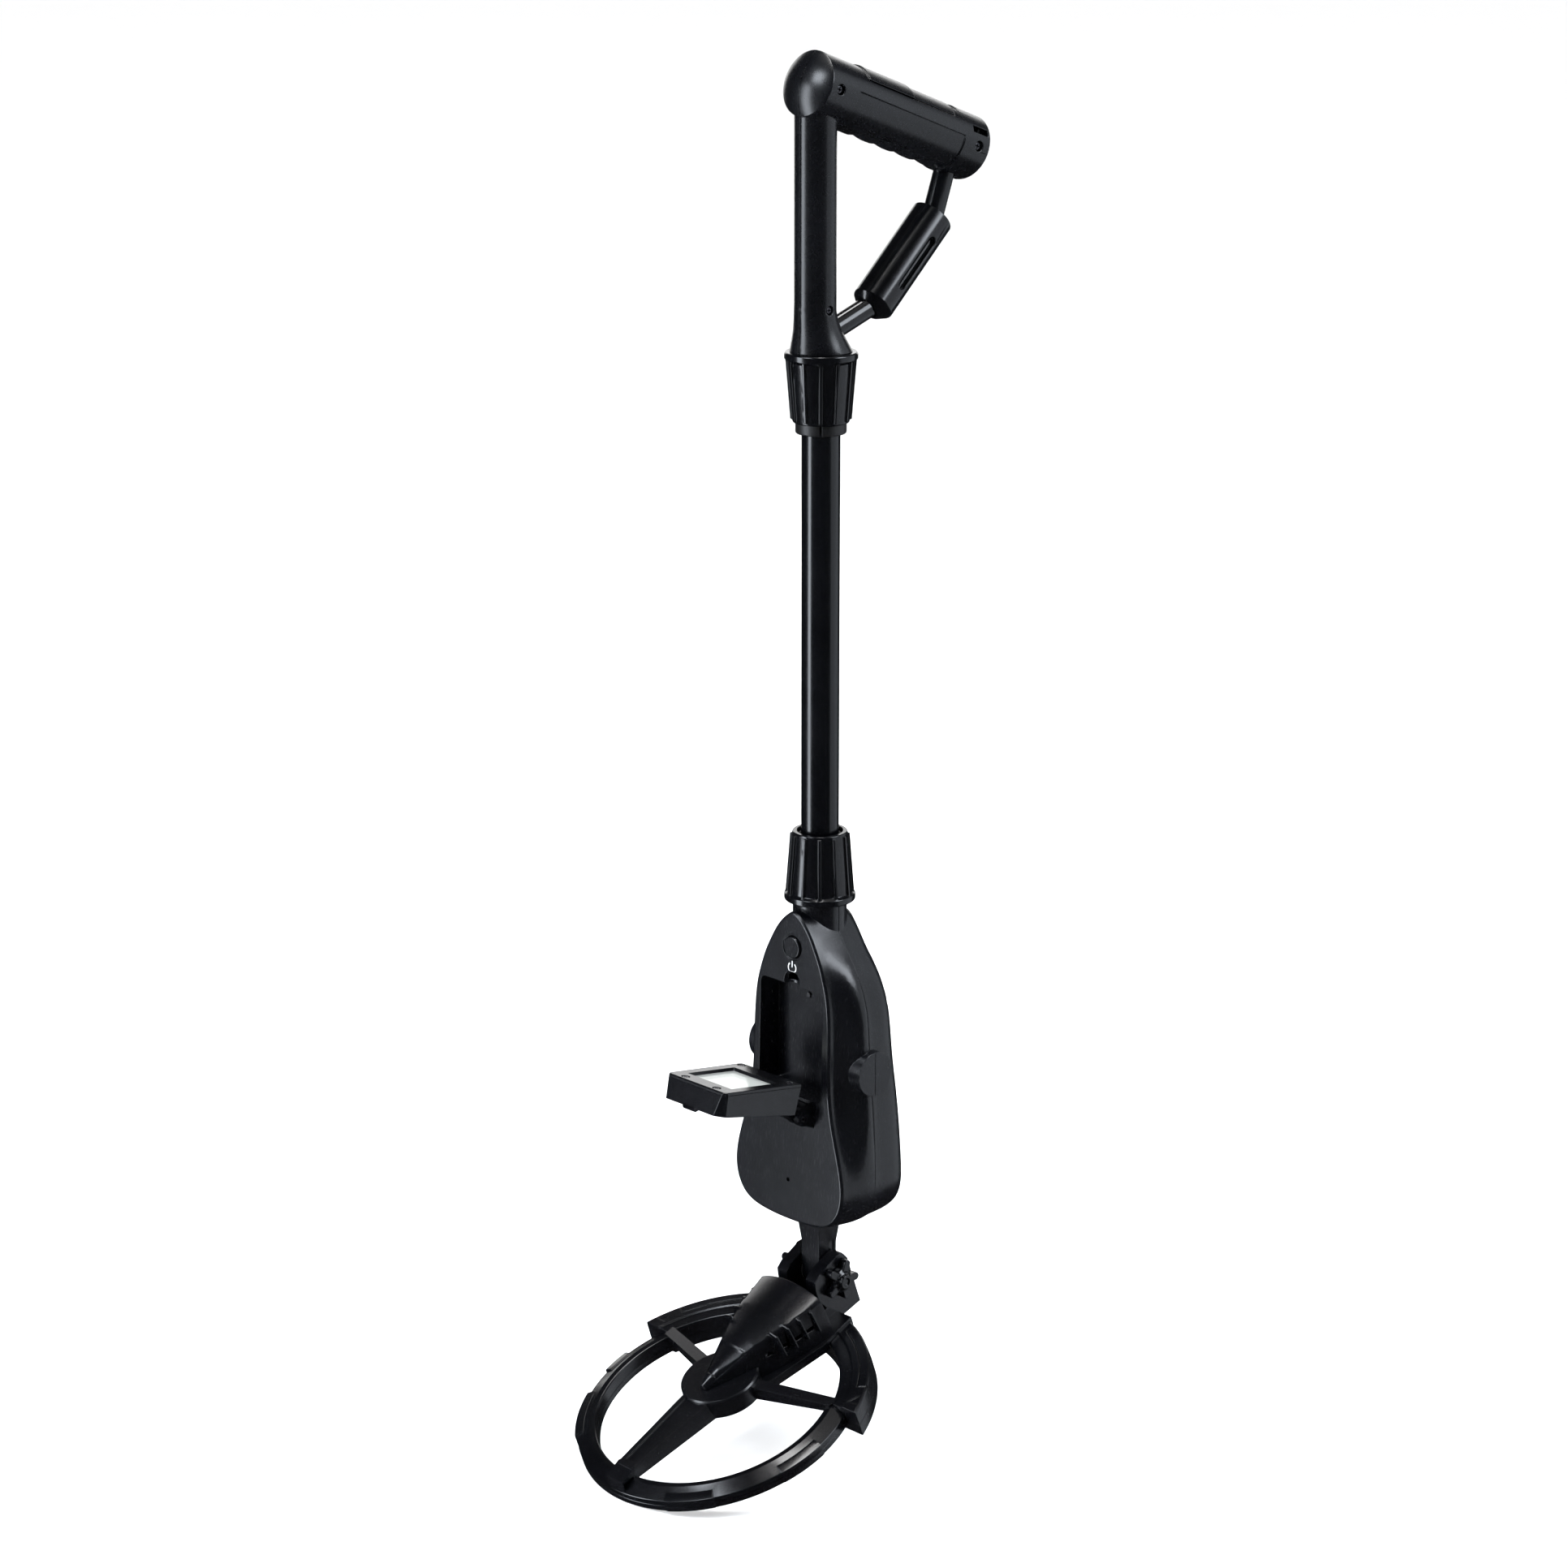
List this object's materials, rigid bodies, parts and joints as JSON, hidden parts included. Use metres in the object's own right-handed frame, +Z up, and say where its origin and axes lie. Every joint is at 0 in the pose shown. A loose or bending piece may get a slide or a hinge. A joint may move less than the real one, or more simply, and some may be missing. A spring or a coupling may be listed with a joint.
{
  "type": "metal detector",
  "caption": "Hand-held metal detector: grip with brace, straight shaft with twist collars, control box with flip-up display and a tilting round search coil.",
  "frame": {"origin": "middle of the hand grip, on the grip's own axis", "axes": "+Z up along the shaft, towards the handle; -Y the way the control box and screen face and the coil points; +X the user's left when holding it with the coil ahead (symmetric about X=0)"},
  "size_m": [0.1568, 0.2492, 0.7069],
  "materials": {
    "handle_plastic": "satin black moulded plastic",
    "gloss_black": "smooth black moulded plastic",
    "bezel_plastic": "fine grained black plastic",
    "box_plastic": "satin black moulded plastic",
    "coil_plastic": "satin black moulded plastic",
    "coil_gloss": "polished black plastic",
    "collet_nylon": "black nylon",
    "tube_paint": "semi-gloss black powder coat on aluminium",
    "screw_steel": "blackened zinc steel",
    "contact_steel": "nickel plated spring steel",
    "cell_jacket": "plain printed cell jacket, no marks",
    "circuit_board": "green solder mask",
    "components": "moulded component packages",
    "lcd_glass": "grey-green liquid crystal panel",
    "clear_window": "clear acrylic window",
    "speaker_steel": "zinc plated basket",
    "speaker_paper": "coated paper cone",
    "copper": "enamelled copper winding",
    "washer_rubber": "black rubber"
  },
  "bodies": {
    "handle": {"handle_shell_left": "handle_plastic", "handle_shell_right": "handle_plastic", "handle_screws": "screw_steel", "brace_rod": "gloss_black", "brace_sleeve": "gloss_black", "battery_cells": "cell_jacket", "battery_contact_pads": "contact_steel", "battery_springs": "contact_steel", "battery_end_walls": "collet_nylon", "upper_collet": "collet_nylon"},
    "battery_cover": {"battery_cover": "handle_plastic"},
    "upper_collar": {"upper_collar": "gloss_black"},
    "shaft": {"shaft_tube": "tube_paint", "tube_plug_upper": "collet_nylon", "tube_plug_lower": "collet_nylon"},
    "control_box": {"control_box_front": "box_plastic", "control_box_rear": "box_plastic", "control_box_screws": "screw_steel", "coil_stem": "box_plastic", "lower_collet": "collet_nylon", "main_board": "circuit_board", "board_components": "components", "power_switch": "collet_nylon", "speaker_basket": "speaker_steel", "speaker_cone": "speaker_paper", "lid_switch": "collet_nylon", "lid_switch_pin": "collet_nylon", "hinge_bracket": "gloss_black"},
    "lower_collar": {"lower_collar": "gloss_black"},
    "power_button": {"power_button": "box_plastic"},
    "display": {"display_case": "gloss_black", "display_bezel": "bezel_plastic", "display_screws": "screw_steel", "display_window": "clear_window", "lcd_panel": "lcd_glass", "display_board": "circuit_board", "hinge_pin": "screw_steel"},
    "coil": {"coil_bridge": "coil_plastic", "coil_housing_top": "coil_plastic", "coil_housing_bottom": "coil_plastic", "coil_ring_top": "coil_gloss", "coil_ring_bottom": "coil_plastic", "coil_winding": "copper", "coil_fairing": "coil_plastic", "coil_screws": "screw_steel", "pivot_washers": "washer_rubber"},
    "knob_left": {"pivot_knob_left": "gloss_black", "pivot_bolt": "screw_steel"},
    "knob_right": {"pivot_knob_right": "gloss_black"}
  },
  "joints": [
    {"name": "battery_cover_lift", "type": "slide", "parent": "handle", "child": "battery_cover", "axis": [0, 0.342, 0.9397], "range_m": [0, 0.03]},
    {"name": "upper_collar_twist", "type": "hinge", "parent": "handle", "child": "upper_collar", "pos_m": [0, -0.0446, -0.1273], "axis": [0, 0, 1], "range_deg": [0, 60]},
    {"name": "shaft_pull", "type": "slide", "parent": "handle", "child": "shaft", "axis": [0, 0, -1], "range_m": [0, 0.045]},
    {"name": "control_box_pull", "type": "slide", "parent": "shaft", "child": "control_box", "axis": [0, 0, -1], "range_m": [0, 0.05]},
    {"name": "lower_collar_twist", "type": "hinge", "parent": "control_box", "child": "lower_collar", "pos_m": [0, -0.0446, -0.3703], "axis": [0, 0, 1], "range_deg": [0, 60]},
    {"name": "power_button_press", "type": "slide", "parent": "control_box", "child": "power_button", "axis": [0, 1, 0], "range_m": [0, 0.0012], "stiffness_N_per_m": 400, "springref_m": -0.001},
    {"name": "display_hinge", "type": "hinge", "parent": "control_box", "child": "display", "pos_m": [0, -0.0731, -0.4941], "axis": [-1, 0, 0], "range_deg": [-12, 79.5]},
    {"name": "coil_tilt", "type": "hinge", "parent": "control_box", "child": "coil", "pos_m": [0, -0.0446, -0.5903], "axis": [1, 0, 0], "range_deg": [-40, 65]},
    {"name": "knob_left_turn", "type": "hinge", "parent": "coil", "child": "knob_left", "pos_m": [-0.017, -0.0446, -0.5903], "axis": [1, 0, 0], "range_deg": [0, 180]},
    {"name": "knob_right_turn", "type": "hinge", "parent": "coil", "child": "knob_right", "pos_m": [0.017, -0.0446, -0.5903], "axis": [1, 0, 0], "range_deg": [0, 180]}
  ]
}
